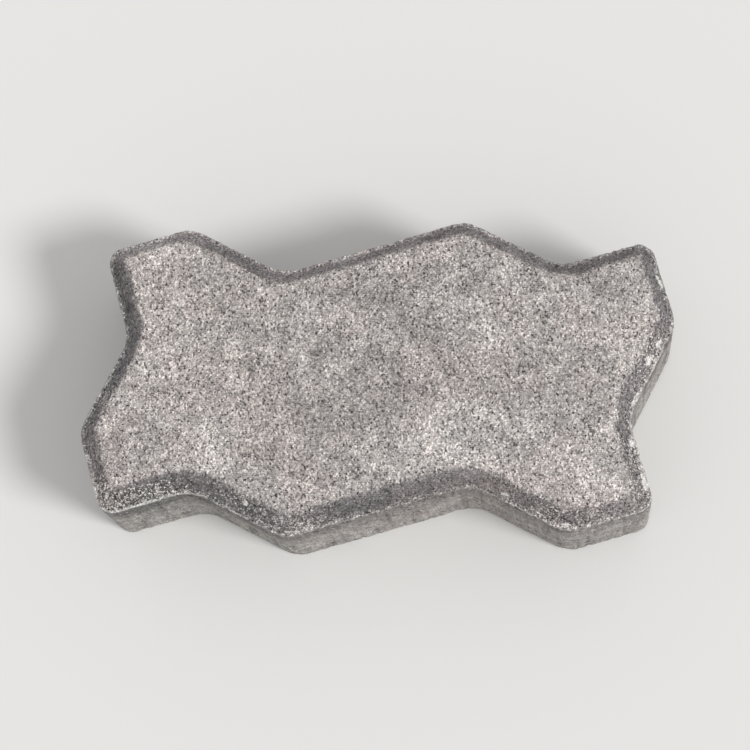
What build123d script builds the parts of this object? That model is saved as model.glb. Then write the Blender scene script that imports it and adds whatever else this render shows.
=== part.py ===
"""Interlocking zigzag paving stone, pressed in one piece from concrete.

The stone covers two square laying modules. Every side follows the same zigzag, so a stone keys into its
neighbours along both axes, also when it is turned by 90 degrees. The origin is the centre of the bed face,
+X is the stone's length and +Z points to the wearing face. All sizes are in millimetres.
"""

import os
from math import atan2, cos, pi, sin

from build123d import *

# Laying grid
MODULE = 112.5  # side of the square laying module
MODULES_LONG = 2  # modules that one stone covers along its length, with one wave of the zigzag on each
JOINT = 2.8  # gap between two laid stones

# Zigzag of the laying line
SWING = 10.0  # how far each bend stands off the straight module line
BENDS_PER_MODULE = 2  # one bend outwards and one inwards between two corners
BEND_RADIUS = 15.0  # rounding of a bend in plan, on the laying line

# Body
THICKNESS = 60.0
CORNER_RADIUS = 7.0  # rounding of the four upright corners

# Pressed edge of the wearing face
RIM_WIDTH = 1.5  # flat land at the foot of the bevel, left by the mould's clearance
BEVEL_WIDTH = 5.5  # bevel in plan
BEVEL_DROP = 6.0  # height of the bevel
CROWN_RADIUS = 4.5  # rounding where the bevel runs out into the wearing face
FACE_CORNER_RADIUS = 4.0  # rounding in plan of the wearing face's own corners

WALL_INSET = JOINT / 2
RIM_INSET = WALL_INSET + RIM_WIDTH
FACE_INSET = RIM_INSET + BEVEL_WIDTH
WALL_HEIGHT = THICKNESS - BEVEL_DROP


def zigzag_side(start, direction, length):
    """Corner and bends of one side, without its last corner, as (point, is_corner) pairs.

    A side holds whole waves, one for each laying module, so that both its corners stay on the module line.
    """
    along = Vector(cos(direction), sin(direction))
    outwards = Vector(-sin(direction), cos(direction))
    waves = round(length / MODULE)
    pitch = length / waves / (BENDS_PER_MODULE + 1)
    points = [(start, True)]
    for wave in range(waves):
        for bend in range(1, BENDS_PER_MODULE + 1):
            offset = SWING if bend % 2 else -SWING
            distance = (wave * (BENDS_PER_MODULE + 1) + bend) * pitch
            points.append((start + along * distance + outwards * offset, False))
    return points


def laying_line():
    """The closed zigzag line that two neighbouring stones share, clockwise from the upper left corner."""
    length = MODULES_LONG * MODULE
    width = MODULE
    sides = [
        (Vector(-length / 2, width / 2), 0, length),
        (Vector(length / 2, width / 2), -pi / 2, width),
        (Vector(length / 2, -width / 2), pi, length),
        (Vector(-length / 2, -width / 2), pi / 2, width),
    ]
    return [point for side in sides for point in zigzag_side(*side)]


def outline(inset, corner_radius):
    """The stone's rounded outline as a face, inset from the laying line by one distance on every run.

    A bend keeps its centre at every inset, so its radius shrinks where it is convex and grows where it is
    hollow, and the joint is as wide in the bends as along the runs.
    """
    line = laying_line()
    points, radii = [], []
    for index, (point, is_corner) in enumerate(line):
        before = (point - line[index - 1][0]).normalized()
        after = (line[(index + 1) % len(line)][0] - point).normalized()
        turn = atan2(before.cross(after).Z, before.dot(after))
        inwards = Vector(before.Y + after.Y, -before.X - after.X).normalized()
        points.append(point + inwards * (inset / cos(turn / 2)))
        convex = turn < 0
        bend_radius = BEND_RADIUS - inset if convex else BEND_RADIUS + inset
        radii.append(corner_radius if is_corner else bend_radius)
    return make_face(FilletPolyline(*points, radius=radii, close=True))


def body():
    """The upright walls, from the bed face to the foot of the bevel."""
    return extrude(outline(WALL_INSET, CORNER_RADIUS), WALL_HEIGHT)


def crown():
    """The pressed top: a bevel on all sides, running out into the wearing face with a soft rounding."""
    foot = Pos(0, 0, WALL_HEIGHT) * outline(RIM_INSET, CORNER_RADIUS - RIM_WIDTH)
    face = Pos(0, 0, THICKNESS) * outline(FACE_INSET, FACE_CORNER_RADIUS)
    pressed = loft([foot, face], ruled=True)
    wearing_edge = pressed.faces().sort_by(Axis.Z)[-1].outer_wire().edges()
    return fillet(wearing_edge, CROWN_RADIUS)


paving_stone = body() + crown()

os.makedirs("parts", exist_ok=True)
export_step(paving_stone, "parts/paving_stone.step")
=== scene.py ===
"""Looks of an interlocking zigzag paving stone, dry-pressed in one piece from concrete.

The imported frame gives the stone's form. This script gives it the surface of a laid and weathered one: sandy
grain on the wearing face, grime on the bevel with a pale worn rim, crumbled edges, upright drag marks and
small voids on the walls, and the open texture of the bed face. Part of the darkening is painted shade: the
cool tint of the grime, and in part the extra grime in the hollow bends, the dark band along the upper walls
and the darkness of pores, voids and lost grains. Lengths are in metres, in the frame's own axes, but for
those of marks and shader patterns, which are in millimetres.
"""

import logging
import math
import random
from collections.abc import Sequence
from dataclasses import dataclass, field
from enum import Enum

import bmesh
import bpy
import numpy as np
from mathutils import Matrix, Vector, noise
from mathutils.bvhtree import BVHTree
from mathutils.kdtree import KDTree


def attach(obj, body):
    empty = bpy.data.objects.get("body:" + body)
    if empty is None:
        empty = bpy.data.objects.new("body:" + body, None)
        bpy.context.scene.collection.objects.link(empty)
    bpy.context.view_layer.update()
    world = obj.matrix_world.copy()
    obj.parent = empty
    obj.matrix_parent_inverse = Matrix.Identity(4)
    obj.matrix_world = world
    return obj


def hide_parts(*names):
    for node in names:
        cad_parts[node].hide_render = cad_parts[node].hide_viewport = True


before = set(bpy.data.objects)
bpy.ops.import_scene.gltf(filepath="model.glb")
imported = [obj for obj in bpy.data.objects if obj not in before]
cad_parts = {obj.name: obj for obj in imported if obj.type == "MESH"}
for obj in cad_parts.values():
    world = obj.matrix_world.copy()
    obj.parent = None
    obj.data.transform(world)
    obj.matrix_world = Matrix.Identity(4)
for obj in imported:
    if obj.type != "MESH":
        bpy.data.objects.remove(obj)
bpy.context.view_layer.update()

NODE = "paving_stone"
PIECE = "paving_stone_pressed"
THICKNESS = max(vertex.co.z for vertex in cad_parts[NODE].data.vertices)
MM = 0.001

log = logging.getLogger("paving_stone")

Array = np.ndarray
Socket = bpy.types.NodeSocket
Feed = Socket | float | tuple[float, ...]
Feeds = dict[int | str, Feed]
Span = tuple[float, float]
Ramp = tuple[float, float, float, float]
Colour = tuple[float, float, float, float]


def smoothstep(values: Array, start: float, end: float) -> Array:
    """Rises softly from 0 at start to 1 at end, or falls where start is the larger."""
    share = np.clip((values - start) / (end - start), 0.0, 1.0)
    return share * share * (3.0 - 2.0 * share)


def steadied(normals: Array, edges: Array, rounds: int) -> Array:
    """Evens out normals over neighbouring vertices, so that vertices sunk at a sharp edge don't cross.

    Args:
        normals: One row for each vertex.
        edges: The two vertices of each edge.
        rounds: How often each normal takes in its neighbours.

    Returns:
        The evened directions, of length 1.
    """
    ends = ((edges[:, 0], edges[:, 1]), (edges[:, 1], edges[:, 0]))
    for _ in range(rounds):
        total = normals.copy()
        for axis in range(3):
            shares = (np.bincount(own, normals[other, axis], len(normals)) for own, other in ends)
            total[:, axis] += sum(shares)
        normals = total / np.linalg.norm(total, axis=1, keepdims=True)
    return normals


def link(thing: bpy.types.Object) -> None:
    """Puts an object into the scene."""
    bpy.context.scene.collection.objects.link(thing)


class Zone(Enum):
    """The kinds of surface that the stone has."""

    WEARING_FACE = "wearing face"
    BEVEL = "bevel"
    WALL = "wall"
    BED = "bed"


@dataclass(frozen=True)
class StoneForm:
    """The stone's own sizes, as the frame's solid has them."""

    module: float = 112.5 * MM
    swing: float = 10.0 * MM
    thickness: float = THICKNESS
    bevel_drop: float = 6.0 * MM
    rim_width: float = 1.5 * MM
    bevel_width: float = 5.5 * MM

    @property
    def wall_height(self) -> float:
        """Height of the upright walls, up to the rim."""
        return self.thickness - self.bevel_drop

    @property
    def bevel_end(self) -> float:
        """Distance from the walls to where the bevel would meet the wearing face."""
        return self.rim_width + self.bevel_width

    def hollow_bends(self) -> list[Vector]:
        """Plan points where the zigzag bends inwards, one on each module of each side.

        Returns:
            The points, on the ground plane.
        """
        along, across = self.module, self.module / 2
        third = self.module / 3
        points = []
        for turn in (1, -1):
            for start in (-along, 0.0):
                long_side = Vector((start + 2 * third, across - self.swing, 0.0))
                points.append(long_side * turn)
            end = Vector((along - self.swing, across - 2 * third, 0.0))
            points.append(end * turn)
        return points


@dataclass(frozen=True)
class Mark:
    """A soft mark on the stone's upper side, placed by its centre in plan, in millimetres and degrees."""

    centre: tuple[float, float]
    half_length: float
    half_width: float
    turn: float = 0.0
    strength: float = 1.0

    def faded(self, places: Array) -> Array:
        """The mark's strength, faded out softly with distance from its centre.

        Args:
            places: One row of coordinates for each vertex.

        Returns:
            One strength for each vertex.
        """
        cos_turn, sin_turn = math.cos(math.radians(self.turn)), math.sin(math.radians(self.turn))
        x = places[:, 0] - self.centre[0] * MM
        y = places[:, 1] - self.centre[1] * MM
        along = (x * cos_turn + y * sin_turn) / (self.half_length * MM)
        across = (y * cos_turn - x * sin_turn) / (self.half_width * MM)
        return self.strength * np.exp(-np.hypot(along, across) ** 2)


def strongest(marks: Sequence[Mark], places: Array) -> Array:
    """The strength of the strongest mark at each place."""
    return np.max([mark.faded(places) for mark in marks], axis=0)


def together(marks: Sequence[Mark], places: Array) -> Array:
    """The summed strengths of all marks at each place."""
    return sum(mark.faded(places) for mark in marks)


@dataclass
class Surface:
    """The stone's fine surface: one row for each vertex of its mesh."""

    places: Array
    normals: Array
    outwards: Array
    inset: Array
    facing: Array
    form: StoneForm
    turned_up: Span = (0.25, 0.6)
    turned_down: Span = (0.35, 0.75)
    bevel_blend: float = 1.5 * MM

    def weight(self, zone: Zone) -> Array:
        """How far each vertex belongs to a zone, from 0 to 1.

        Args:
            zone: The kind of surface asked for.

        Returns:
            One weight for each vertex.
        """
        up = smoothstep(self.normals[:, 2], *self.turned_up)
        down = smoothstep(-self.normals[:, 2], *self.turned_down)
        end, blend = self.form.bevel_end, self.bevel_blend
        inner = smoothstep(self.inset, end - blend, end + blend)
        if zone is Zone.WEARING_FACE:
            return up * inner
        if zone is Zone.BEVEL:
            return up * (1.0 - inner)
        if zone is Zone.BED:
            return down
        return 1.0 - up - down

    def from_rim(self) -> Array:
        """Distance of each vertex from the arris between the walls and the rim."""
        return np.hypot(self.inset, self.places[:, 2] - self.form.wall_height)

    def from_bed_edge(self) -> Array:
        """Distance of each vertex from the arris between the walls and the bed face."""
        return np.hypot(self.inset, self.places[:, 2])

    def sink(self, depths: Array) -> None:
        """Moves every vertex inwards by its own depth."""
        self.places -= self.outwards * depths[:, None]

    def fractal(self, size: float | tuple[float, float, float], octaves: int, shift: float) -> Array:
        """Fractal noise at every vertex.

        Args:
            size: Width of the largest bumps, alike in all directions or one for each axis.
            octaves: How many times finer noise is added.
            shift: Moves the pattern, so that two layers don't follow each other.

        Returns:
            Values of about -1 to 1.
        """
        scaled = self.places / np.asarray(size) + shift
        values = [noise.fractal(Vector(place), 0.9, 2.0, octaves) for place in scaled.tolist()]
        return np.asarray(values)

    def lows(self, size: float, contrast: float, shift: float) -> Array:
        """How low each vertex lies between soft bumps of a size, from 0 to 1."""
        return np.clip(0.5 - contrast * self.fractal(size, 2, shift), 0.0, 1.0)


@dataclass(frozen=True)
class Swell:
    """Broad, shallow unevenness of the pressed surfaces."""

    width: float = 18.0 * MM
    depth: float = 0.16 * MM
    shift: float = 5.0

    def depths(self, surface: Surface) -> Array:
        """Depth under the frame's surface at each vertex."""
        return surface.lows(self.width, 0.5, self.shift) * self.depth


@dataclass(frozen=True)
class GrainRelief:
    """Coarse sand grains standing a little out of the cement, all over."""

    width: float = 2.1 * MM
    depth: float = 0.42 * MM
    shift: float = 11.0
    on_bevel: float = 0.8
    on_wall: float = 0.7
    on_bed: float = 0.9

    def depths(self, surface: Surface) -> Array:
        """Depth under the frame's surface.

        Args:
            surface: The surface that is cut.

        Returns:
            One depth for each vertex.
        """
        share = (
            surface.weight(Zone.WEARING_FACE)
            + self.on_bevel * surface.weight(Zone.BEVEL)
            + self.on_wall * surface.weight(Zone.WALL)
            + self.on_bed * surface.weight(Zone.BED)
        )
        return surface.lows(self.width, 0.6, self.shift) * self.depth * share


@dataclass(frozen=True)
class DragMarks:
    """Upright scores on the walls, left as the stone is pushed out of its mould."""

    width: float = 2.2 * MM
    length: float = 45.0 * MM
    depth: float = 0.26 * MM
    shift: float = 23.0

    def scores(self, surface: Surface) -> Array:
        """How deep each vertex lies in a score, from 0 to 1."""
        streaks = surface.fractal((self.width, self.width, self.length), 3, self.shift)
        return smoothstep(streaks, 0.0, 0.8) * surface.weight(Zone.WALL)

    def depths(self, surface: Surface) -> Array:
        """Depth under the frame's surface at each vertex."""
        return self.scores(surface) * self.depth


@dataclass(frozen=True)
class OpenTexture:
    """The coarse, less closed texture of the bed face and of the lower walls."""

    width: float = 4.5 * MM
    depth: float = 0.7 * MM
    shift: float = 37.0
    on_wall: float = 0.4
    wall_heights: Span = (30 * MM, 4 * MM)

    def depths(self, surface: Surface) -> Array:
        """Depth under the frame's surface.

        Args:
            surface: The surface that is cut.

        Returns:
            One depth for each vertex.
        """
        lumps = surface.fractal(self.width, 3, self.shift)
        low = smoothstep(surface.places[:, 2], *self.wall_heights)
        share = surface.weight(Zone.BED) + self.on_wall * low * surface.weight(Zone.WALL)
        return smoothstep(lumps, -0.1, 0.9) * self.depth * share


@dataclass(frozen=True)
class EdgeCrumble:
    """Sand lost along the sharp edges: a little round the rim, and more round the bed."""

    width: float = 2.4 * MM
    shift: float = 53.0
    reach: float = 1.0 * MM
    depth: float = 0.24 * MM
    bed_reach: float = 2.2 * MM
    bed_depth: float = 0.75 * MM

    def depths(self, surface: Surface) -> Array:
        """Depth under the frame's surface.

        Args:
            surface: The surface that is cut.

        Returns:
            One depth for each vertex.
        """
        loss = np.clip(0.55 + 0.5 * surface.fractal(self.width, 2, self.shift), 0.15, 1.0)
        rim = smoothstep(surface.from_rim(), self.reach, 0.0) * self.depth
        bed = smoothstep(surface.from_bed_edge(), self.bed_reach, 0.0) * self.bed_depth
        return loss * (rim + bed)


@dataclass(frozen=True)
class Hollows:
    """Small hollows of one kind, strewn over a zone or along the rim: pores, voids or chips."""

    zone: Zone
    count: int
    radius: Span
    depth_share: Span
    seed: int
    along_rim: bool = False
    rim_band: float = 0.8 * MM
    rarity: float = 2.2
    bluntness: float = 0.6

    def centres(self, surface: Surface) -> list[tuple[int, float, float]]:
        """Picks the hollows.

        Args:
            surface: The surface that they lie on.

        Returns:
            The middle vertex, radius and depth of each hollow.
        """
        chance = random.Random(self.seed)
        on_rim = surface.from_rim() < self.rim_band
        places = np.flatnonzero(on_rim if self.along_rim else surface.weight(self.zone) > 0.9)
        picked = []
        for _ in range(self.count):
            middle = int(places[chance.randrange(len(places))])
            share = chance.random() ** self.rarity
            radius = self.radius[0] + (self.radius[1] - self.radius[0]) * share
            picked.append((middle, radius, radius * chance.uniform(*self.depth_share)))
        return picked

    def depths(self, surface: Surface, tree: KDTree) -> Array:
        """Depth of these hollows at each vertex.

        Args:
            surface: The surface that they lie on.
            tree: The surface's vertices, to look up neighbours.

        Returns:
            One depth for each vertex. Where hollows meet, the deepest counts.
        """
        depths = np.zeros(len(surface.places))
        for middle, radius, depth in self.centres(surface):
            near = tree.find_range(Vector(surface.places[middle]), radius * 1.4)
            for place, vertex, distance in near:
                ragged = max(0.2, 0.85 + 0.9 * noise.noise(place / (radius * 0.7)))
                share = distance / (radius * ragged)
                if share < 1.0:
                    depths[vertex] = max(depths[vertex], depth * (1.0 - share**2) ** self.bluntness)
        return depths


@dataclass
class WearMap:
    """What happened to the stone while it lay, with some painted shade, as one value for each vertex."""

    form: StoneForm
    patches: Sequence[Mark]
    scuffs: Sequence[Mark]
    specked: Sequence[Mark]
    widened: Sequence[Mark]
    hues: Sequence[Mark]
    reach_south: float = 0.9 * MM
    reach_uneven: float = 1.3 * MM
    uneven_width: float = 9.0 * MM
    uneven_shift: float = 71.0
    shelter_width: float = 17 * MM
    joint_depths: Span = (30 * MM, 3 * MM)
    wall_dirt_and_shadow: float = 0.55
    worn_reach: Span = (1.9 * MM, 0.6 * MM)
    margin_width: float = 3.0 * MM
    margin_tone: float = 0.05
    score_tone: float = 0.32
    scuff_drop: float = 3 * MM

    def grime_and_shade(self, surface: Surface) -> Array:
        """Dirt held by the bevel, most of it in the hollow bends, and by the upper walls inside the joints;
        in the bends and in the band on the walls it is partly painted shade.

        Args:
            surface: The surface that the dirt lies on.

        Returns:
            One share of dirt and painted shade for each vertex.
        """
        uneven = surface.fractal(self.uneven_width, 2, self.uneven_shift)
        drift = self.reach_south * -surface.facing[:, 1] + self.reach_uneven * uneven
        drift += MM * together(self.widened, surface.places)
        inset = surface.inset
        end = self.form.bevel_end + drift
        outer = 0.72 + 0.28 * smoothstep(inset, 1.0 * MM, 3.0 * MM)
        bevel = outer * (1.0 - smoothstep((inset - end) / MM, -1.6, 1.9))
        # The hollow bends hold more grime, laid like ambient occlusion: partly dirt, partly painted shade.
        shelter = np.zeros(len(inset))
        for bend in self.form.hollow_bends():
            distance = np.hypot(surface.places[:, 0] - bend.x, surface.places[:, 1] - bend.y)
            shelter = np.maximum(shelter, np.exp(-((distance / self.shelter_width) ** 2)))
        # A dark band on the upper walls: partly joint dirt, partly the joint's painted shadow.
        low, high = (self.form.wall_height - depth for depth in self.joint_depths)
        joint = smoothstep(surface.places[:, 2], low, high)
        top = surface.weight(Zone.BEVEL) + surface.weight(Zone.WEARING_FACE)
        on_walls = self.wall_dirt_and_shadow * joint * surface.weight(Zone.WALL)
        return bevel * top * (0.88 + 0.12 * shelter) + on_walls

    def rim(self, surface: Surface) -> Array:
        """The worn line along the rim, where feet and sand keep it clean, palest in the specked places."""
        worn = 1.0 + 0.6 * strongest(self.specked, surface.places)
        return smoothstep(surface.from_rim(), *self.worn_reach) * worn

    def tone(self, surface: Surface) -> Array:
        """The broad paler and darker patches of the upper side, a paler band on the face along the bevel, and
        the scored walls.

        Args:
            surface: The surface that is toned.

        Returns:
            One change of brightness for each vertex.
        """
        total = together(self.patches, surface.places)
        offset = (surface.inset - self.form.bevel_end - self.margin_width) / self.margin_width
        margin = self.margin_tone * np.exp(-(offset**2))
        upper = smoothstep(surface.places[:, 2], 20 * MM, self.form.wall_height)
        return (total + margin) * upper - self.score_tone * DragMarks().scores(surface)

    def warmth(self, surface: Surface) -> Array:
        """The broad warmer and cooler patches: pinkish or yellowish stone, and earthy or sooty grime, whose
        cool tint is partly painted shade.
        """
        return together(self.hues, surface.places)

    def bare(self, surface: Surface) -> Array:
        """Pale scuffs, where the surface was knocked off down to the sand."""
        lowest, rim = self.form.wall_height - self.scuff_drop, self.form.wall_height
        return strongest(self.scuffs, surface.places) * smoothstep(surface.places[:, 2], lowest, rim)

    def specks(self, surface: Surface) -> Array:
        """How thickly pale grains show on the bevel: thicker along the rim and in some places."""
        total = strongest(self.specked, surface.places)
        return np.clip(0.3 * self.rim(surface) + total, 0.0, 1.0) * surface.weight(Zone.BEVEL)


class NodeSheet:
    """Lays out and links shader nodes in one tree, column by column."""

    rows = 6
    column_width = 220
    row_height = 190

    def __init__(self, tree: bpy.types.NodeTree) -> None:
        """Starts an empty sheet on a tree.

        Args:
            tree: The tree, which is emptied.
        """
        self.tree = tree
        self.tree.nodes.clear()
        self._placed = 0

    def feed(self, socket: Socket, value: Feed) -> None:
        """Links a socket to another one, or sets its own value.

        Args:
            socket: The input socket.
            value: An output socket, a number or a colour.
        """
        if isinstance(value, Socket):
            self.tree.links.new(value, socket)
        else:
            socket.default_value = value

    def add(self, kind: str, feeds: Feeds | None = None, **settings: object) -> bpy.types.Node:
        """Adds one node.

        Args:
            kind: The node's type name.
            feeds: What goes into its inputs, by their number or name.
            settings: Properties to set on it before that.

        Returns:
            The new node.
        """
        node = self.tree.nodes.new(kind)
        column, row = divmod(self._placed, self.rows)
        node.location = (self.column_width * column, -self.row_height * row)
        self._placed += 1
        for name, value in settings.items():
            setattr(node, name, value)
        for name, value in (feeds or {}).items():
            self.feed(node.inputs[name], value)
        return node

    def maths(self, operation: str, *values: Feed, clamp: bool = False) -> Socket:
        """One arithmetic step on the values. Clamped, its result stays between 0 and 1."""
        feeds = dict(enumerate(values))
        return self.add("ShaderNodeMath", feeds, operation=operation, use_clamp=clamp).outputs[0]

    def ease(self, value: Feed, start: Feed, end: Feed, low: Feed = 0.0, high: Feed = 1.0) -> Socket:
        """Maps a value softly, to low at start and to high at end."""
        feeds = dict(enumerate((value, start, end, low, high)))
        return self.add("ShaderNodeMapRange", feeds, interpolation_type="SMOOTHSTEP").outputs[0]

    def between(self, share: Feed, low: Feed, high: Feed) -> Socket:
        """A number part of the way from low to high."""
        return self.add("ShaderNodeMix", {0: share, 2: low, 3: high}, data_type="FLOAT").outputs[0]

    def mix(self, share: Feed, first: Feed, second: Feed, blend: str = "MIX") -> Socket:
        """Lays a share of the second colour over the first."""
        feeds = {0: share, 6: first, 7: second}
        return self.add("ShaderNodeMix", feeds, data_type="RGBA", blend_type=blend).outputs[2]

    def tinted(self, base: Feed, tint: Feed) -> Socket:
        """One colour multiplied by another."""
        return self.mix(1.0, base, tint, "MULTIPLY")

    def shaded(self, base: Feed, shade: Feed) -> Socket:
        """A colour made darker or lighter by a number."""
        grey = self.add("ShaderNodeCombineColor", dict.fromkeys(range(3), shade))
        return self.tinted(base, grey.outputs[0])

    def cloud(self, place: Socket, width: float, detail: float, roughness: float) -> bpy.types.Node:
        """Adds a texture of soft noise of a given width in millimetres."""
        feeds = {"Vector": place, "Scale": 1000.0 / width, "Detail": detail, "Roughness": roughness}
        return self.add("ShaderNodeTexNoise", feeds)

    def noise(self, place: Socket, width: float, detail: float, roughness: float) -> Socket:
        """Soft noise of a given width in millimetres, about 0.5."""
        return self.cloud(place, width, detail, roughness).outputs["Fac"]

    def centred(self, place: Socket, width: float, detail: float, roughness: float) -> Socket:
        """Soft noise of a given width in millimetres, about 0."""
        return self.maths("SUBTRACT", self.noise(place, width, detail, roughness), 0.5)

    def cells(self, place: Socket, spacing: float) -> tuple[Socket, list[Socket]]:
        """Divides space into uneven cells, one round each of many strewn points.

        Args:
            place: Place on the stone.
            spacing: Usual distance between the points, in millimetres.

        Returns:
            The distance from the cell's own point, and three chances that differ from cell to cell.
        """
        cells = self.add("ShaderNodeTexVoronoi", {"Vector": place, "Scale": 1000.0 / spacing})
        chances = self.add("ShaderNodeSeparateColor", {0: cells.outputs["Color"]})
        return cells.outputs["Distance"], list(chances.outputs)

    def mask(self, name: str) -> Socket:
        """A value kept with the mesh."""
        return self.add("ShaderNodeAttribute", attribute_name=name).outputs["Fac"]


def colour(red: float, green: float, blue: float) -> Colour:
    """A plain opaque colour from its three shares of light."""
    return (red, green, blue, 1.0)


@dataclass(frozen=True)
class GrainSize:
    """One size of sand: its spacing in millimetres, and the radius, brightness and height of its grains.

    The darkest of them are lost grains, which leave a small hollow, their darkness partly painted shade, and
    the palest stand out of the cement.
    """

    spacing: float
    radius: Span
    shade: Span
    rise: Span


@dataclass(frozen=True)
class GrainGroup:
    """Node group for sand set in dusty cement: uneven grains and small hollows of several sizes."""

    name: str = "sand_grain"
    ground: float = 0.90
    uneven: float = 0.60
    uneven_width: float = 0.8
    dust_width: float = 0.45
    dust_shade: Ramp = (0.30, 0.70, 0.80, 1.20)
    grain_edge: Span = (1.05, 0.62)
    grain_slope: Span = (1.10, 0.15)
    sizes: tuple[GrainSize, ...] = (
        GrainSize(0.43, (0.40, 0.92), (0.20, 1.84), (-0.25, 0.25)),
        GrainSize(0.78, (0.36, 0.92), (0.10, 2.14), (-0.60, 0.45)),
        GrainSize(1.65, (0.06, 0.36), (0.34, 1.74), (-0.50, 0.80)),
    )

    def build(self) -> bpy.types.NodeTree:
        """Makes the group.

        Returns:
            A tree that takes Vector, and puts out Shade (about 1), Warmth, Speck and Height.
        """
        tree = bpy.data.node_groups.new(self.name, "ShaderNodeTree")
        tree.interface.new_socket("Vector", in_out="INPUT", socket_type="NodeSocketVector")
        for name in ("Shade", "Warmth", "Speck", "Height"):
            tree.interface.new_socket(name, in_out="OUTPUT", socket_type="NodeSocketFloat")
        sheet = NodeSheet(tree)
        straight = sheet.add("NodeGroupInput").outputs["Vector"]
        place = self.frayed(sheet, straight)
        dust = sheet.noise(straight, self.dust_width, 3.0, 0.7)
        shade, height, warmth, speck = self.ground, dust, 0.5, 0.0
        for size in self.sizes:
            distance, chances = sheet.cells(place, size.spacing)
            share = sheet.maths("DIVIDE", distance, sheet.between(chances[0], *size.radius))
            grain = sheet.ease(share, *self.grain_edge)
            shade = sheet.between(grain, shade, sheet.between(chances[1], *size.shade))
            warmth = sheet.between(grain, warmth, chances[2])
            raised = sheet.maths("ADD", dust, sheet.between(chances[1], *size.rise))
            height = sheet.between(sheet.ease(share, *self.grain_slope), height, raised)
            if size is self.sizes[1]:
                speck = sheet.maths("MULTIPLY", grain, chances[2])
        shade = sheet.maths("MULTIPLY", shade, sheet.ease(dust, *self.dust_shade))
        results = {"Shade": shade, "Warmth": warmth, "Speck": speck, "Height": height}
        sheet.add("NodeGroupOutput", results)
        return tree

    def frayed(self, sheet: NodeSheet, place: Socket) -> Socket:
        """Shifts each place a little by fine noise, so that no grain is a round dot.

        Args:
            sheet: The group's nodes.
            place: Place on the stone.

        Returns:
            The shifted place.
        """
        wobble = sheet.cloud(place, self.uneven_width, 3.0, 0.7).outputs["Color"]
        centred = sheet.add("ShaderNodeVectorMath", {0: wobble, 1: (0.5, 0.5, 0.5)}, operation="SUBTRACT")
        feeds = {0: centred.outputs[0], 1: (self.uneven * MM,) * 3, 2: place}
        return sheet.add("ShaderNodeVectorMath", feeds, operation="MULTIPLY_ADD").outputs[0]


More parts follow.
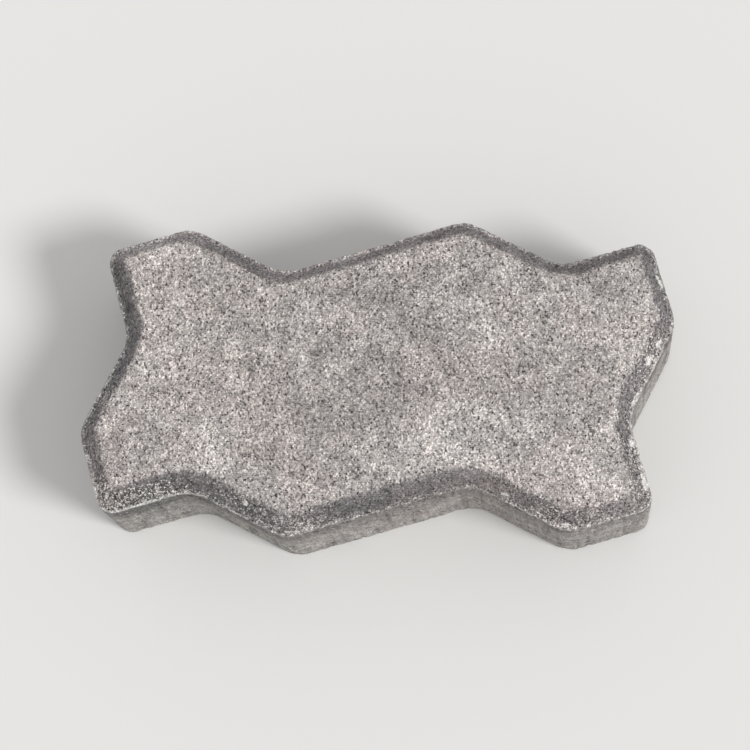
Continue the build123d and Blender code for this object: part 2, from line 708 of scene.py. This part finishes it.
@dataclass(frozen=True)
class ConcreteFinish:
    """Pressed sandy concrete as it looks after some years in a pavement.

    The spans cleaned, darkened, calm and speck_limit run from the plain bevel to its most specked places.
    """

    name: str = "pressed_concrete"
    wall_height: float = StoneForm().wall_height
    face: Colour = colour(0.428, 0.3935, 0.3785)
    warm: Colour = colour(1.024, 0.991, 0.984)
    cool: Colour = colour(0.976, 1.008, 1.004)
    wall: Colour = colour(0.375, 0.352, 0.335)
    # A cool grey for the grime: partly soot, partly a painted bluish tint of sky-lit shade.
    soot_and_shade_tint: Colour = colour(0.488, 0.504, 0.540)
    earth: Colour = colour(0.516, 0.503, 0.504)
    bare: Colour = colour(0.78, 0.76, 0.73)
    wall_edge: Span = (0.2 * MM, 1.6 * MM)
    earthy: float = 0.4
    hue_width: float = 24.0
    hue_span: Span = (0.36, 0.64)
    cleaned: Span = (0.05, 1.0)
    darkened: Span = (0.97, 0.66)
    calm: Span = (0.14, 0.0)
    wall_calm: float = 0.45
    pale_grain: Span = (0.9, 1.6)
    dirt_and_shade_edge: Span = (0.08, 0.92)
    dirt_and_shade_torn: float = 0.28
    torn_strength: float = 2.4
    clump_shade: Ramp = (0.32, 0.68, 0.85, 1.15)
    cloud_shade: Ramp = (0.28, 0.72, 0.87, 1.13)
    # Pores drawn darker: partly dirt, partly painted shade in the hollows.
    pit_shade: Ramp = (0.30, 0.85, 1.0, 0.62)
    speck_limit: Span = (0.996, 0.72)
    speck_share: float = 0.55
    worn_share: Ramp = (0.70, 1.55, 0.0, 0.60)
    chip_share: Ramp = (0.35, 0.85, 0.0, 0.40)
    scuff_share: Ramp = (0.45, 0.85, 0.0, 0.90)
    least_bare: float = 0.35
    void_spacing: float = 3.0
    void_radius: Span = (-0.10, 0.36)
    void_edge: Span = (0.06, -0.14)
    void_strength: Span = (0.3, 1.0)
    # Voids drawn darker: painted shade in the hollows.
    void_shade: float = 0.50
    void_depth: float = 3.0
    bump_strength: float = 0.8
    bump_height: float = 0.40 * MM
    roughness: float = 0.92
    specular: float = 0.3

    def build(self, grain: bpy.types.NodeTree) -> bpy.types.Material:
        """Makes the material.

        Args:
            grain: The sand grain group.

        Returns:
            The finished material.
        """
        material = bpy.data.materials.new(self.name)
        material.use_nodes = True
        sheet = NodeSheet(material.node_tree)
        place = sheet.add("ShaderNodeTexCoord").outputs["Object"]
        sand = sheet.add("ShaderNodeGroup", {"Vector": place}, node_tree=grain)
        ragged = sheet.centred(place, 2.0, 3.0, 0.7)
        torn = sheet.maths("MULTIPLY", sheet.centred(place, 1.2, 3.0, 0.7), self.torn_strength)

        base = self.cement(sheet, place, sand.outputs["Warmth"])
        # Share of dirt, with painted shade in the hollow bends and in the band on the upper walls.
        grime_and_shade = self.dirt_and_shade(sheet, sand.outputs["Shade"], torn)
        earthy = sheet.maths("ADD", sheet.mask("warmth"), self.earthy, clamp=True)
        darkened = sheet.between(sheet.mask("specks"), *self.darkened)
        # The grime's colour: dirt, with a painted cool tint of shade where it leans to the soot grey.
        dirt_and_shade_colour = sheet.shaded(sheet.mix(earthy, self.soot_and_shade_tint, self.earth), darkened)
        base = sheet.tinted(base, sheet.mix(grime_and_shade, colour(1, 1, 1), dirt_and_shade_colour))
        voids = self.voids(sheet, place)
        shade = self.brightness(sheet, place, sand.outputs["Shade"], grime_and_shade, torn)
        # Painted shade in the voids.
        shade = sheet.maths("MULTIPLY", shade, sheet.between(voids, 1.0, self.void_shade))
        base = sheet.shaded(base, shade)
        knocked = sheet.shaded(self.bare, sheet.between(self.least_bare, 1.0, sand.outputs["Shade"]))
        base = sheet.mix(self.bared(sheet, sand.outputs["Speck"], ragged, torn), base, knocked)

        bump = sheet.add("ShaderNodeBump")
        bump.inputs["Strength"].default_value = self.bump_strength
        bump.inputs["Distance"].default_value = self.bump_height
        sunk = sheet.maths("MULTIPLY", voids, self.void_depth)
        sheet.feed(bump.inputs["Height"], sheet.maths("SUBTRACT", sand.outputs["Height"], sunk))
        shader = sheet.add("ShaderNodeBsdfPrincipled")
        sheet.feed(shader.inputs["Base Color"], base)
        shader.inputs["Roughness"].default_value = self.roughness
        shader.inputs["Specular IOR Level"].default_value = self.specular
        sheet.feed(shader.inputs["Normal"], bump.outputs["Normal"])
        output = sheet.add("ShaderNodeOutputMaterial")
        sheet.feed(output.inputs["Surface"], shader.outputs[0])
        return material

    def dirt_and_shade(self, sheet: NodeSheet, shade: Socket, torn: Socket) -> Socket:
        """Share of dirt and painted shade between the grains. Pale ones stand out of it, worn clean.

        Args:
            sheet: The material's nodes.
            shade: Brightness of the grains, about 1.
            torn: Fine noise about 0, which tears the dirt's edge.

        Returns:
            The share, from 0 to 1.
        """
        cleaned = sheet.between(sheet.mask("specks"), *self.cleaned)
        spared = sheet.maths("MULTIPLY", sheet.ease(shade, *self.pale_grain), cleaned)
        soiled = sheet.maths("ADD", sheet.mask("grime_and_shade"), sheet.maths("MULTIPLY", torn, self.dirt_and_shade_torn))
        return sheet.ease(sheet.maths("SUBTRACT", soiled, spared), *self.dirt_and_shade_edge)

    def voids(self, sheet: NodeSheet, place: Socket) -> Socket:
        """Small open voids between the grains, where the concrete was pressed less closely.

        Args:
            sheet: The material's nodes.
            place: Place on the stone.

        Returns:
            How far each place lies in a void, from 0 outside to 1 in the deepest ones.
        """
        distance, chances = sheet.cells(place, self.void_spacing)
        radius = sheet.between(chances[0], *self.void_radius)
        wobble = sheet.maths("MULTIPLY", sheet.centred(place, 1.6, 4.0, 0.75), 1.3)
        edge = sheet.maths("SUBTRACT", sheet.maths("ADD", distance, wobble), radius)
        strength = sheet.between(chances[1], *self.void_strength)
        deep = sheet.maths("MULTIPLY", sheet.mask("open"), strength)
        return sheet.maths("MULTIPLY", sheet.ease(edge, *self.void_edge), deep)

    def cement(self, sheet: NodeSheet, place: Socket, warmth: Socket) -> Socket:
        """Colour of the concrete itself, above and on the walls, with its faint warm and cool tints.

        Args:
            sheet: The material's nodes.
            place: Place on the stone.
            warmth: Each grain's own warmth, from 0 to 1.

        Returns:
            The colour.
        """
        height = sheet.add("ShaderNodeSeparateXYZ", {0: place}).outputs["Z"]
        top, bottom = (self.wall_height - drop for drop in self.wall_edge)
        base = sheet.mix(sheet.ease(height, top, bottom), self.face, self.wall)
        drift = sheet.ease(sheet.noise(place, self.hue_width, 3.0, 0.55), *self.hue_span)
        warmer = sheet.maths("ADD", sheet.between(0.5, drift, warmth), sheet.mask("warmth"), clamp=True)
        return sheet.tinted(base, sheet.mix(warmer, self.cool, self.warm))

    def brightness(
        self, sheet: NodeSheet, place: Socket, sand: Socket, grime_and_shade: Socket, torn: Socket
    ) -> Socket:
        """Brightness of the sand, clumped and in broad patches, darker in the pores, partly as painted shade,
        calmer under grime and painted shade and under the walls' skin.

        Args:
            sheet: The material's nodes.
            place: Place on the stone.
            sand: Brightness of the grains, about 1.
            grime_and_shade: How much dirt and painted shade lies on the surface.
            torn: Fine noise about 0, which tears the edges of the larger hollows.

        Returns:
            The brightness, about 1.
        """
        dirt_and_shade = sheet.maths("MULTIPLY", grime_and_shade, sheet.between(sheet.mask("specks"), *self.calm))
        skin = sheet.maths("MULTIPLY", sheet.mask("open"), self.wall_calm)
        grains = sheet.between(sheet.maths("MAXIMUM", dirt_and_shade, skin), sand, 1.0)
        clumps = sheet.ease(sheet.noise(place, 7.0, 3.0, 0.62), *self.clump_shade)
        clouds = sheet.ease(sheet.noise(place, 13.0, 3.0, 0.6), *self.cloud_shade)
        # Darker in the pores, torn at their edges: partly dirt, partly painted shade.
        hollow = sheet.maths("ADD", sheet.mask("pore"), sheet.maths("MULTIPLY", torn, 0.5))
        pits = sheet.ease(hollow, *self.pit_shade)
        tone = sheet.maths("ADD", sheet.mask("tone"), 1.0)
        cloudy = sheet.maths("MULTIPLY", clumps, clouds)
        broad = sheet.maths("MULTIPLY", cloudy, sheet.maths("MULTIPLY", pits, tone))
        return sheet.maths("MULTIPLY", grains, broad)

    def bared(self, sheet: NodeSheet, speck: Socket, ragged: Socket, torn: Socket) -> Socket:
        """Share of pale, bare sand: single grains, most of them along the rim, and scuffs.

        Args:
            sheet: The material's nodes.
            speck: A chance for each grain, from 0 to 1.
            ragged: Fine noise about 0, which frays the worn line.
            torn: Finer and stronger noise about 0, which tears the edges of chips and scuffs.

        Returns:
            The share, from 0 to 1.
        """
        limit = sheet.between(sheet.mask("specks"), *self.speck_limit)
        single = sheet.maths("GREATER_THAN", speck, limit)
        frayed = sheet.maths("ADD", ragged, sheet.maths("MULTIPLY", torn, 0.35))
        worn = sheet.ease(sheet.maths("ADD", sheet.mask("rim"), frayed), *self.worn_share)
        chipped = sheet.ease(sheet.maths("ADD", sheet.mask("chip"), torn), *self.chip_share)
        scuffed = sheet.ease(sheet.maths("ADD", sheet.mask("bare"), torn), *self.scuff_share)
        marks = sheet.maths("MAXIMUM", sheet.maths("MAXIMUM", worn, chipped), scuffed)
        return sheet.maths("MAXIMUM", sheet.maths("MULTIPLY", single, self.speck_share), marks)


@dataclass
class PavingStone:
    """The stone itself: its fine mesh, its relief and its finish."""

    form: StoneForm = field(default_factory=StoneForm)
    voxel: float = 0.6 * MM
    steady_rounds: int = 8
    scuff_depth: float = 0.35 * MM
    full_cut: float = 1.1 * MM
    most_triangles: int = 194_000
    top_thinned: float = 0.5
    walls_thinned: float = 0.8
    bed_thinned: float = 1.0
    sparing: float = 5e-5
    fold_angle: float = math.radians(85)
    fold_rounds: int = 6
    finish: ConcreteFinish = field(default_factory=ConcreteFinish)

    def solid(self) -> bmesh.types.BMesh:
        """Merges the loose triangles of the frame's solid.

        Returns:
            The solid, closed and with its faces outwards.
        """
        body = bmesh.new()
        body.from_mesh(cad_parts[NODE].data)
        bmesh.ops.remove_doubles(body, verts=body.verts, dist=0.001 * MM)
        bmesh.ops.recalc_face_normals(body, faces=body.faces)
        return body

    def walls(self, body: bmesh.types.BMesh) -> BVHTree:
        """The upright walls alone, to measure how far inside them a point lies.

        Args:
            body: The merged solid.

        Returns:
            A tree of the wall faces.
        """
        body.verts.index_update()
        upright = [face for face in body.faces if abs(face.normal.z) < 0.01]
        faces = [[vertex.index for vertex in face.verts] for face in upright]
        return BVHTree.FromPolygons([vertex.co.copy() for vertex in body.verts], faces)

    def fine_mesh(self, body: bmesh.types.BMesh) -> bpy.types.Object:
        """Turns the solid into an even, closed skin of small faces.

        Args:
            body: The merged solid. It is freed.

        Returns:
            The object that carries the skin.
        """
        mesh = bpy.data.meshes.new(PIECE)
        body.to_mesh(mesh)
        body.free()
        stone = bpy.data.objects.new(PIECE, mesh)
        link(stone)
        skin = stone.modifiers.new("even_skin", "REMESH")
        skin.mode = "VOXEL"
        skin.voxel_size = self.voxel
        self.apply_modifiers(stone)
        return stone

    @staticmethod
    def apply_modifiers(stone: bpy.types.Object) -> None:
        """Bakes an object's modifiers into its mesh.

        Args:
            stone: The object.
        """
        evaluated = stone.evaluated_get(bpy.context.evaluated_depsgraph_get())
        stone.data = bpy.data.meshes.new_from_object(evaluated)
        stone.modifiers.clear()

    def surface(self, mesh: bpy.types.Mesh, walls: BVHTree) -> Surface:
        """Reads the skin into arrays.

        Args:
            mesh: The fine mesh.
            walls: The stone's upright walls.

        Returns:
            The surface, with each vertex's distance inside the walls and the way its nearest wall faces.
        """
        places = np.zeros(len(mesh.vertices) * 3)
        normals = np.zeros(len(mesh.vertices) * 3)
        edges = np.zeros(len(mesh.edges) * 2, dtype=np.int64)
        mesh.vertices.foreach_get("co", places)
        mesh.vertices.foreach_get("normal", normals)
        mesh.edges.foreach_get("vertices", edges)
        places, normals = places.reshape(-1, 3), normals.reshape(-1, 3)
        outwards = steadied(normals, edges.reshape(-1, 2), self.steady_rounds)
        middle = self.form.wall_height / 2
        nearest = [walls.find_nearest(Vector((x, y, middle))) for x, y, _ in places.tolist()]
        facing = np.array([normal[:] for _, normal, _, _ in nearest])
        inset = np.array([distance for _, _, _, distance in nearest])
        return Surface(places, normals, outwards, inset, facing, self.form)

    def hollows(self) -> dict[str, list[Hollows]]:
        """Lists the pores, voids and chips.

        Returns:
            Their kinds, by the value that they darken or bare.
        """
        pores = [
            Hollows(Zone.WEARING_FACE, 170, (0.7 * MM, 1.4 * MM), (0.25, 0.5), seed=101),
            Hollows(Zone.WALL, 720, (0.7 * MM, 2.8 * MM), (0.3, 0.6), seed=102),
            Hollows(Zone.BED, 640, (0.7 * MM, 2.8 * MM), (0.3, 0.6), seed=103),
        ]
        chips = [Hollows(Zone.BEVEL, 110, (0.7 * MM, 2.2 * MM), (0.2, 0.4), seed=104, along_rim=True)]
        return {"pore": pores, "chip": chips}

    def roughen(self, mesh: bpy.types.Mesh, surface: Surface) -> None:
        """Cuts the relief into the surface and keeps the wear, with masks of painted shade, as values on the
        mesh.

        Args:
            mesh: The fine mesh.
            surface: Its arrays, which are changed.
        """
        patches = FACE_PATCHES + BEVEL_PATCHES
        wear = WearMap(self.form, patches, RIM_SCUFFS, SPECKED_PLACES, WIDER_DIRT, HUES)
        values = {
            "grime_and_shade": wear.grime_and_shade(surface),
            "rim": wear.rim(surface),
            "tone": wear.tone(surface),
            "warmth": wear.warmth(surface),
            "bare": wear.bare(surface),
            "specks": wear.specks(surface),
            "open": 0.85 * surface.weight(Zone.WALL) + surface.weight(Zone.BED),
        }
        tree = KDTree(len(surface.places))
        for index, place in enumerate(surface.places.tolist()):
            tree.insert(place, index)
        tree.balance()
        depths = self.scuff_depth * values["bare"]
        for relief in (Swell(), GrainRelief(), DragMarks(), OpenTexture(), EdgeCrumble()):
            depths += relief.depths(surface)
        for name, kinds in self.hollows().items():
            cut = np.max([kind.depths(surface, tree) for kind in kinds], axis=0)
            values[name] = smoothstep(cut, 0.0, self.full_cut)
            depths += cut
        values["pore"] *= 1.0 - 0.5 * surface.weight(Zone.BED)
        surface.sink(depths)
        mesh.vertices.foreach_set("co", surface.places.ravel())
        for name, data in values.items():
            kept = mesh.attributes.new(name, "FLOAT", "POINT")
            kept.data.foreach_set("value", data.astype(np.float32))
        mesh.update()

    def thin_out(self, stone: bpy.types.Object, surface: Surface) -> None:
        """Brings the mesh under its number of triangles, sparing the upper side most and the bed least.

        Args:
            stone: The object that carries the mesh.
            surface: The arrays of its surface.
        """
        freely = stone.vertex_groups.new(name="thinned_freely")
        freely.add(list(range(len(surface.places))), self.walls_thinned, "REPLACE")
        top = surface.weight(Zone.WEARING_FACE) + surface.weight(Zone.BEVEL) > 0.5
        freely.add(np.flatnonzero(top).tolist(), self.top_thinned, "REPLACE")
        bed = surface.weight(Zone.BED) > 0.5
        freely.add(np.flatnonzero(bed).tolist(), self.bed_thinned, "REPLACE")
        triangles = sum(len(face.vertices) - 2 for face in stone.data.polygons)
        thin = stone.modifiers.new("thin_out", "DECIMATE")
        thin.ratio = min(1.0, self.most_triangles / triangles)
        thin.vertex_group = freely.name
        thin.vertex_group_factor = self.sparing
        self.apply_modifiers(stone)
        stone.vertex_groups.clear()

    def ease_folds(self, mesh: bpy.types.Mesh) -> None:
        """Smooths the few spots where steep hollows fold the skin over an edge.

        Args:
            mesh: The thinned mesh, which is changed.
        """
        skin = bmesh.new()
        skin.from_mesh(mesh)
        bmesh.ops.triangulate(skin, faces=skin.faces, quad_method="SHORT_EDGE")
        every_way = {"use_axis_x": True, "use_axis_y": True, "use_axis_z": True}
        for _ in range(self.fold_rounds):
            bent = {edge for edge in skin.edges if edge.calc_face_angle(0.0) > self.fold_angle}
            folded = [vertex for vertex in skin.verts if not bent.isdisjoint(vertex.link_edges)]
            bmesh.ops.smooth_vert(skin, verts=folded, factor=0.5, **every_way)
        skin.to_mesh(mesh)
        skin.free()

    def build(self) -> bpy.types.Object:
        """Builds the stone's mesh.

        Returns:
            The stone, still without its finish.
        """
        body = self.solid()
        walls = self.walls(body)
        stone = self.fine_mesh(body)
        surface = self.surface(stone.data, walls)
        self.roughen(stone.data, surface)
        self.thin_out(stone, surface)
        self.ease_folds(stone.data)
        for face in stone.data.polygons:
            face.use_smooth = True
        return stone

    def dress(self, stone: bpy.types.Object) -> None:
        """Gives the stone its finish and its place in the frame.

        Args:
            stone: The built stone.
        """
        stone.data.materials.clear()
        stone.data.materials.append(self.finish.build(GrainGroup().build()))
        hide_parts(NODE)
        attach(stone, "root")


# Paler and darker patches of the wearing face. The strength is a change of brightness.
FACE_PATCHES = (
    Mark((22, -28), 16, 12, 20, 0.26),
    Mark((46, -17), 18, 12, 0, 0.16),
    Mark((56, -38), 15, 8, 0, 0.13),
    Mark((42, 21), 14, 8, -40, 0.18),
    Mark((88, -42), 12, 8, 0, 0.21),
    Mark((97, 8), 13, 12, 50, 0.22),
    Mark((-87, 29), 13, 13, 0, 0.17),
    Mark((5, -17), 8, 8, 0, -0.17),
    Mark((-36, 18), 11, 10, 0, -0.07),
    Mark((80, -16), 12, 7, 20, -0.05),
    Mark((-90, 0), 14, 16, 0, 0.09),
    Mark((-92, 46), 8, 9, 0, 0.08),
    Mark((-66, -26), 14, 10, 15, 0.14),
    Mark((8, 28), 26, 14, 5, -0.14),
    Mark((-2, -4), 30, 18, 10, -0.12),
    Mark((-42, -34), 8, 8, 0, -0.04),
    Mark((63, -6), 9, 8, 0, -0.10),
    Mark((96, 34), 9, 10, 0, -0.14),
    Mark((-100, -30), 9, 10, 0, -0.12),
    Mark((30, 38), 14, 7, 15, -0.10),
)

# The same along the bevel, run by run.
BEVEL_PATCHES = (
    Mark((-94, 57), 17, 5, 15, 0.58),
    Mark((-56, 52), 16, 6, -28, -0.16),
    Mark((-18, 49), 18, 5, 15, 0.40),
    Mark((72, 48), 12, 5, -28, -0.20),
    Mark((92, 47), 18, 5, 15, -0.18),
    Mark((113, 36), 5, 18, 14, -0.20),
    Mark((111, 0), 5, 18, -28, -0.22),
    Mark((20, -47), 26, 6, 15, -0.14),
    Mark((-18, -57), 22, 6, 15, -0.24),
    Mark((96, -54), 18, 6, 15, 0.10),
    Mark((-56, -53), 18, 6, -28, -0.23),
    Mark((-92, -48), 20, 6, 15, -0.40),
    Mark((-104, 38), 6, 20, 15, -0.38),
    Mark((-106, 2), 6, 18, -28, -0.08),
)

# Warmer patches, above 0, and cooler ones.
HUES = (
    Mark((-64, 2), 18, 16, 20, 0.34),
    Mark((-78, -32), 14, 10, 0, 0.30),
    Mark((-34, -32), 12, 10, 0, 0.20),
    Mark((64, -32), 11, 8, 0, 0.20),
    Mark((90, -40), 12, 9, 0, -0.28),
    Mark((96, 2), 12, 14, 0, -0.20),
    Mark((28, -28), 16, 10, 0, -0.28),
    Mark((48, 16), 18, 12, -30, -0.22),
    Mark((-91, 6), 9, 12, 0, -0.22),
    Mark((36, -50), 36, 7, 15, 0.45),
    Mark((92, -52), 20, 6, 15, 0.20),
    Mark((-112, 4), 7, 26, -28, -0.50),
    Mark((-98, -50), 22, 6, 15, -0.25),
    Mark((108, -34), 6, 18, 15, -0.20),
)

# Where the dirt reaches further onto the face, or less far. The strength is in millimetres.
WIDER_DIRT = (
    Mark((-94, 57), 18, 10, 15, -1.3),
    Mark((-18, -55), 24, 12, 15, 1.1),
    Mark((-92, -46), 24, 12, 15, 1.3),
    Mark((-104, 36), 10, 22, 15, 1.2),
    Mark((92, -52), 20, 10, 15, -0.4),
)

# Spots on the rim and the bevel that were knocked pale.
RIM_SCUFFS = (
    Mark((114.8, 37.0), 6.0, 1.0, -75, 0.90),
    Mark((113.7, 11.0), 2.2, 1.1, 62, 1.30),
    Mark((109.6, 3.8), 2.8, 1.1, 62, 1.35),
    Mark((103.6, -11.5), 9.0, 1.0, 62, 0.85),
    Mark((101.8, -29.0), 1.8, 1.2, -75, 1.30),
    Mark((104.2, -37.0), 5.0, 1.2, -75, 0.70),
    Mark((106.7, -45.0), 4.8, 1.4, -75, 1.35),
    Mark((74.5, -61.7), 2.0, 1.2, 16, 1.10),
    Mark((51.0, -49.0), 1.6, 1.1, -28, 1.00),
    Mark((-52.6, -50.4), 1.4, 1.2, -28, 1.15),
    Mark((-95.5, -50.0), 4.0, 1.0, 16, 0.75),
    Mark((-108.5, -46.5), 1.8, 1.2, 30, 1.00),
    Mark((-116.0, -31.0), 3.0, 1.0, -75, 0.80),
    Mark((-105.0, 28.0), 1.4, 1.1, -75, 0.95),
)

# Stretches of the bevel where many single pale grains show.
SPECKED_PLACES = (
    Mark((-98, -46), 24, 9, 0, 0.95),
    Mark((-44, -50), 26, 8, -25, 0.70),
    Mark((106, -30), 8, 26, 0, 0.75),
    Mark((-112, 10), 8, 30, 0, 0.45),
    Mark((80, -52), 26, 8, 20, 0.60),
    Mark((110, 8), 8, 14, 0, 0.65),
)


@dataclass
class Studio:
    """Plain pale floor, soft light from the photograph's side, and the camera at its viewing angle."""

    floor_size: float = 6.0
    floor_colour: Colour = colour(0.80, 0.79, 0.775)
    sun_azimuth: float = -25.0
    sun_elevation: float = 45.0
    sun_strength: float = 1.80
    sun_width: float = 16.0
    sky_strength: float = 0.60
    camera_offset: tuple[float, float, float] = (76 * MM, -221 * MM, 1050 * MM)
    camera_clip: Span = (0.01, 20.0)
    frame_width: float = 300 * MM
    roll: float = 0.5

    def floor(self) -> None:
        """Lays the floor that the stone rests on."""
        sheet = bmesh.new()
        bmesh.ops.create_grid(sheet, x_segments=1, y_segments=1, size=self.floor_size / 2)
        mesh = bpy.data.meshes.new("studio_floor")
        sheet.to_mesh(mesh)
        sheet.free()
        floor = bpy.data.objects.new("studio_floor", mesh)
        link(floor)
        material = bpy.data.materials.new("studio_floor")
        material.use_nodes = True
        shader = material.node_tree.nodes["Principled BSDF"]
        shader.inputs["Base Color"].default_value = self.floor_colour
        shader.inputs["Roughness"].default_value = 1.0
        shader.inputs["Specular IOR Level"].default_value = 0.0
        mesh.materials.append(material)

    def light(self) -> None:
        """Sets one wide, soft lamp and an even sky, which the camera sees as plain white."""
        lamp = bpy.data.lights.new("key_lamp", "SUN")
        lamp.energy = self.sun_strength
        lamp.angle = math.radians(self.sun_width)
        key = bpy.data.objects.new("key_lamp", lamp)
        turn = math.radians(90 + self.sun_azimuth)
        key.rotation_euler = (math.radians(90 - self.sun_elevation), 0.0, turn)
        link(key)
        world = bpy.data.worlds.new("studio_sky")
        world.use_nodes = True
        sheet = NodeSheet(world.node_tree)
        rays = sheet.add("ShaderNodeLightPath")
        background = sheet.add("ShaderNodeBackground")
        background.inputs["Color"].default_value = colour(1, 1, 1)
        strength = sheet.ease(rays.outputs["Is Camera Ray"], 0.0, 1.0, self.sky_strength, 1.0)
        sheet.feed(background.inputs["Strength"], strength)
        output = sheet.add("ShaderNodeOutputWorld")
        sheet.feed(output.inputs["Surface"], background.outputs[0])
        bpy.context.scene.world = world

    def camera(self) -> None:
        """Aims the camera at the stone from the photograph's direction, with its length level."""
        target = Vector((0.0, 0.0, THICKNESS))
        away = Vector(self.camera_offset)
        back = away.normalized()
        right = Vector((0.0, 1.0, 0.0)).cross(back).normalized()
        up = back.cross(right)
        level = Matrix((right, up, back)).transposed()
        turned = level @ Matrix.Rotation(math.radians(-self.roll), 3, "Z")
        data = bpy.data.cameras.new("camera")
        data.lens = data.sensor_width * away.length / self.frame_width
        data.clip_start, data.clip_end = self.camera_clip
        camera = bpy.data.objects.new("camera", data)
        camera.matrix_world = Matrix.Translation(target + away) @ turned.to_4x4()
        link(camera)
        bpy.context.scene.camera = camera

    def build(self) -> None:
        """Sets up floor, light, camera and plain colour handling."""
        self.floor()
        self.light()
        self.camera()
        bpy.context.scene.view_settings.view_transform = "Standard"


def main() -> None:
    """Builds the stone and the studio."""
    logging.basicConfig(level=logging.INFO, format="%(name)s: %(message)s")
    paving_stone = PavingStone()
    stone = paving_stone.build()
    paving_stone.dress(stone)
    log.info("%s: %d faces", stone.name, len(stone.data.polygons))
    Studio().build()
    log.info("studio: floor, light and camera")


if __name__ == "__main__":
    main()
